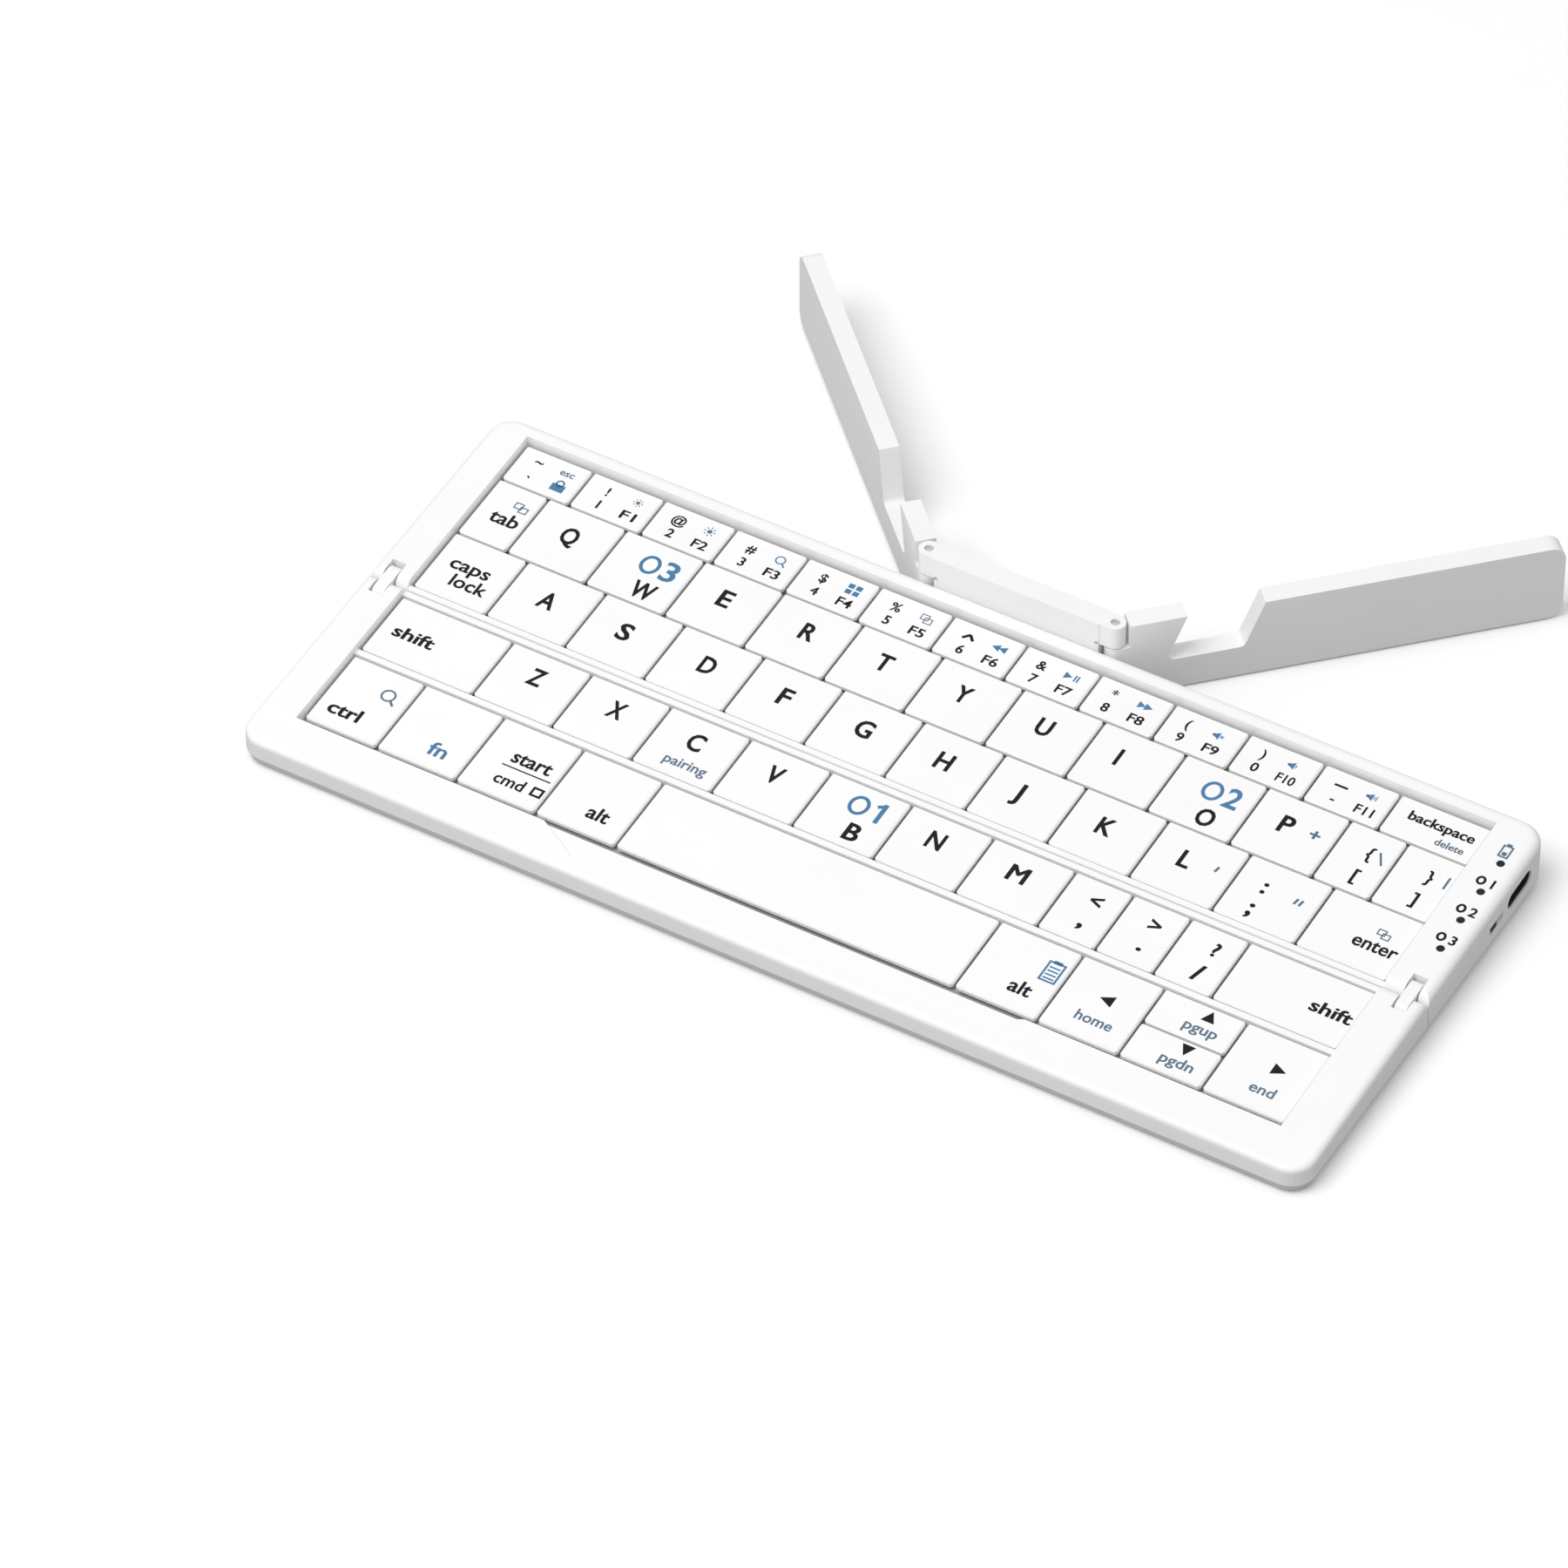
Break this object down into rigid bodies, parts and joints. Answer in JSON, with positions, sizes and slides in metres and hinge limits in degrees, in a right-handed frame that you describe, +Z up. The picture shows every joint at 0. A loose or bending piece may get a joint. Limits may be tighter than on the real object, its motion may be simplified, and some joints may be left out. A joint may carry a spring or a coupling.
{
  "type": "folding keyboard",
  "caption": "Folding pocket keyboard: wedge-shaped halves on double-pivot links, moving keys and a stand with hinged legs that holds a phone upright.",
  "frame": {"origin": "under the middle of the open object, on the table", "axes": "+X to the right along the key rows, +Y away from the typist, +Z up"},
  "size_m": [0.222, 0.1592, 0.0179],
  "materials": {
    "housing": "fine satin moulding",
    "cover": "fine satin moulding",
    "keycap": "satin",
    "link": "satin",
    "stand": "fine satin moulding",
    "plate": "bare sheet",
    "sheet": "matt silicone",
    "board": "solder mask",
    "cell": "foil pouch",
    "port": "drawn shell",
    "slider": "satin",
    "lens": "clear tinted",
    "pin": "turned",
    "screw": "plated",
    "plug": "satin",
    "foot": "matt",
    "ink_black": "printed legend",
    "ink_blue": "printed legend",
    "ink_slate": "printed legend"
  },
  "bodies": {
    "back_half": {"back_housing": "housing", "back_cover": "cover", "back_plate": "plate", "back_sheet": "sheet", "circuit_board": "board", "battery": "cell", "usb_socket": "port", "indicator_lenses": "lens", "fold_pins_back": "pin", "side_plugs_back": "plug", "stand_bracket": "stand", "bracket_screws": "screw", "leg_pins": "pin", "feet_back": "foot"},
    "fold_links": {"fold_link_left": "link", "fold_link_right": "link"},
    "front_half": {"front_housing": "housing", "front_cover": "cover", "front_plate": "plate", "front_sheet": "sheet", "fold_pins_front": "pin", "side_plugs_front": "plug", "feet_front": "foot"},
    "leg_left": {"leg_left": "stand"},
    "leg_right": {"leg_right": "stand"},
    "power_slider": {"power_slider": "slider"},
    "number_keys": {"number_keys": "keycap"},
    "edge_keys": {"edge_keys": "keycap"},
    "punctuation_back": {"punctuation_back": "keycap"},
    "key_enter": {"key_enter": "keycap"},
    "key_q": {"key_q": "keycap"},
    "key_w": {"key_w": "keycap"},
    "key_e": {"key_e": "keycap"},
    "key_r": {"key_r": "keycap"},
    "key_t": {"key_t": "keycap"},
    "key_y": {"key_y": "keycap"},
    "key_u": {"key_u": "keycap"},
    "key_i": {"key_i": "keycap"},
    "key_o": {"key_o": "keycap"},
    "key_p": {"key_p": "keycap"},
    "key_a": {"key_a": "keycap"},
    "key_s": {"key_s": "keycap"},
    "key_d": {"key_d": "keycap"},
    "key_f": {"key_f": "keycap"},
    "key_g": {"key_g": "keycap"},
    "key_h": {"key_h": "keycap"},
    "key_j": {"key_j": "keycap"},
    "key_k": {"key_k": "keycap"},
    "key_l": {"key_l": "keycap"},
    "key_z": {"key_z": "keycap"},
    "key_x": {"key_x": "keycap"},
    "key_c": {"key_c": "keycap"},
    "key_v": {"key_v": "keycap"},
    "key_b": {"key_b": "keycap"},
    "key_n": {"key_n": "keycap"},
    "key_m": {"key_m": "keycap"},
    "key_space": {"key_space": "keycap"},
    "punctuation_front": {"punctuation_front": "keycap"},
    "bottom_keys": {"bottom_keys": "keycap"},
    "arrow_keys": {"arrow_keys": "keycap"}
  },
  "joints": [
    {"name": "fold_back", "type": "hinge", "parent": "back_half", "child": "fold_links", "pos_m": [0, -0.03013, 0.00739], "axis": [-1, 0, 0], "range_deg": [0, 90]},
    {"name": "fold_front", "type": "hinge", "parent": "fold_links", "child": "front_half", "pos_m": [0, -0.03472, 0.00711], "axis": [-1, 0, 0], "range_deg": [0, 90]},
    {"name": "leg_left_swing", "type": "hinge", "parent": "back_half", "child": "leg_left", "pos_m": [-0.0197, 0.01705, 0.009], "axis": [0, 0, 1], "range_deg": [0, 45]},
    {"name": "leg_right_swing", "type": "hinge", "parent": "back_half", "child": "leg_right", "pos_m": [0.0197, 0.01705, 0.009], "axis": [0, 0, -1], "range_deg": [0, 45]},
    {"name": "power_slide", "type": "slide", "parent": "back_half", "child": "power_slider", "axis": [0, 0.9981, 0.0611], "range_m": [0, 0.002]},
    {"name": "press_number_keys", "type": "slide", "parent": "back_half", "child": "number_keys", "axis": [0, 0.0611, -0.9981], "range_m": [0, 0.001], "stiffness_N_per_m": 500},
    {"name": "press_edge_keys", "type": "slide", "parent": "back_half", "child": "edge_keys", "axis": [0, 0.0611, -0.9981], "range_m": [0, 0.001], "stiffness_N_per_m": 500},
    {"name": "press_punctuation_back", "type": "slide", "parent": "back_half", "child": "punctuation_back", "axis": [0, 0.0611, -0.9981], "range_m": [0, 0.001], "stiffness_N_per_m": 500},
    {"name": "press_enter", "type": "slide", "parent": "back_half", "child": "key_enter", "axis": [0, 0.0611, -0.9981], "range_m": [0, 0.001], "stiffness_N_per_m": 500},
    {"name": "press_q", "type": "slide", "parent": "back_half", "child": "key_q", "axis": [0, 0.0611, -0.9981], "range_m": [0, 0.001], "stiffness_N_per_m": 500},
    {"name": "press_w", "type": "slide", "parent": "back_half", "child": "key_w", "axis": [0, 0.0611, -0.9981], "range_m": [0, 0.001], "stiffness_N_per_m": 500},
    {"name": "press_e", "type": "slide", "parent": "back_half", "child": "key_e", "axis": [0, 0.0611, -0.9981], "range_m": [0, 0.001], "stiffness_N_per_m": 500},
    {"name": "press_r", "type": "slide", "parent": "back_half", "child": "key_r", "axis": [0, 0.0611, -0.9981], "range_m": [0, 0.001], "stiffness_N_per_m": 500},
    {"name": "press_t", "type": "slide", "parent": "back_half", "child": "key_t", "axis": [0, 0.0611, -0.9981], "range_m": [0, 0.001], "stiffness_N_per_m": 500},
    {"name": "press_y", "type": "slide", "parent": "back_half", "child": "key_y", "axis": [0, 0.0611, -0.9981], "range_m": [0, 0.001], "stiffness_N_per_m": 500},
    {"name": "press_u", "type": "slide", "parent": "back_half", "child": "key_u", "axis": [0, 0.0611, -0.9981], "range_m": [0, 0.001], "stiffness_N_per_m": 500},
    {"name": "press_i", "type": "slide", "parent": "back_half", "child": "key_i", "axis": [0, 0.0611, -0.9981], "range_m": [0, 0.001], "stiffness_N_per_m": 500},
    {"name": "press_o", "type": "slide", "parent": "back_half", "child": "key_o", "axis": [0, 0.0611, -0.9981], "range_m": [0, 0.001], "stiffness_N_per_m": 500},
    {"name": "press_p", "type": "slide", "parent": "back_half", "child": "key_p", "axis": [0, 0.0611, -0.9981], "range_m": [0, 0.001], "stiffness_N_per_m": 500},
    {"name": "press_a", "type": "slide", "parent": "back_half", "child": "key_a", "axis": [0, 0.0611, -0.9981], "range_m": [0, 0.001], "stiffness_N_per_m": 500},
    {"name": "press_s", "type": "slide", "parent": "back_half", "child": "key_s", "axis": [0, 0.0611, -0.9981], "range_m": [0, 0.001], "stiffness_N_per_m": 500},
    {"name": "press_d", "type": "slide", "parent": "back_half", "child": "key_d", "axis": [0, 0.0611, -0.9981], "range_m": [0, 0.001], "stiffness_N_per_m": 500},
    {"name": "press_f", "type": "slide", "parent": "back_half", "child": "key_f", "axis": [0, 0.0611, -0.9981], "range_m": [0, 0.001], "stiffness_N_per_m": 500},
    {"name": "press_g", "type": "slide", "parent": "back_half", "child": "key_g", "axis": [0, 0.0611, -0.9981], "range_m": [0, 0.001], "stiffness_N_per_m": 500},
    {"name": "press_h", "type": "slide", "parent": "back_half", "child": "key_h", "axis": [0, 0.0611, -0.9981], "range_m": [0, 0.001], "stiffness_N_per_m": 500},
    {"name": "press_j", "type": "slide", "parent": "back_half", "child": "key_j", "axis": [0, 0.0611, -0.9981], "range_m": [0, 0.001], "stiffness_N_per_m": 500},
    {"name": "press_k", "type": "slide", "parent": "back_half", "child": "key_k", "axis": [0, 0.0611, -0.9981], "range_m": [0, 0.001], "stiffness_N_per_m": 500},
    {"name": "press_l", "type": "slide", "parent": "back_half", "child": "key_l", "axis": [0, 0.0611, -0.9981], "range_m": [0, 0.001], "stiffness_N_per_m": 500},
    {"name": "press_z", "type": "slide", "parent": "front_half", "child": "key_z", "axis": [0, 0.0611, -0.9981], "range_m": [0, 0.001], "stiffness_N_per_m": 500},
    {"name": "press_x", "type": "slide", "parent": "front_half", "child": "key_x", "axis": [0, 0.0611, -0.9981], "range_m": [0, 0.001], "stiffness_N_per_m": 500},
    {"name": "press_c", "type": "slide", "parent": "front_half", "child": "key_c", "axis": [0, 0.0611, -0.9981], "range_m": [0, 0.001], "stiffness_N_per_m": 500},
    {"name": "press_v", "type": "slide", "parent": "front_half", "child": "key_v", "axis": [0, 0.0611, -0.9981], "range_m": [0, 0.001], "stiffness_N_per_m": 500},
    {"name": "press_b", "type": "slide", "parent": "front_half", "child": "key_b", "axis": [0, 0.0611, -0.9981], "range_m": [0, 0.001], "stiffness_N_per_m": 500},
    {"name": "press_n", "type": "slide", "parent": "front_half", "child": "key_n", "axis": [0, 0.0611, -0.9981], "range_m": [0, 0.001], "stiffness_N_per_m": 500},
    {"name": "press_m", "type": "slide", "parent": "front_half", "child": "key_m", "axis": [0, 0.0611, -0.9981], "range_m": [0, 0.001], "stiffness_N_per_m": 500},
    {"name": "press_space", "type": "slide", "parent": "front_half", "child": "key_space", "axis": [0, 0.0611, -0.9981], "range_m": [0, 0.001], "stiffness_N_per_m": 500},
    {"name": "press_punctuation_front", "type": "slide", "parent": "front_half", "child": "punctuation_front", "axis": [0, 0.0611, -0.9981], "range_m": [0, 0.001], "stiffness_N_per_m": 500},
    {"name": "press_bottom_keys", "type": "slide", "parent": "front_half", "child": "bottom_keys", "axis": [0, 0.0611, -0.9981], "range_m": [0, 0.001], "stiffness_N_per_m": 500},
    {"name": "press_arrow_keys", "type": "slide", "parent": "front_half", "child": "arrow_keys", "axis": [0, 0.0611, -0.9981], "range_m": [0, 0.001], "stiffness_N_per_m": 500}
  ]
}
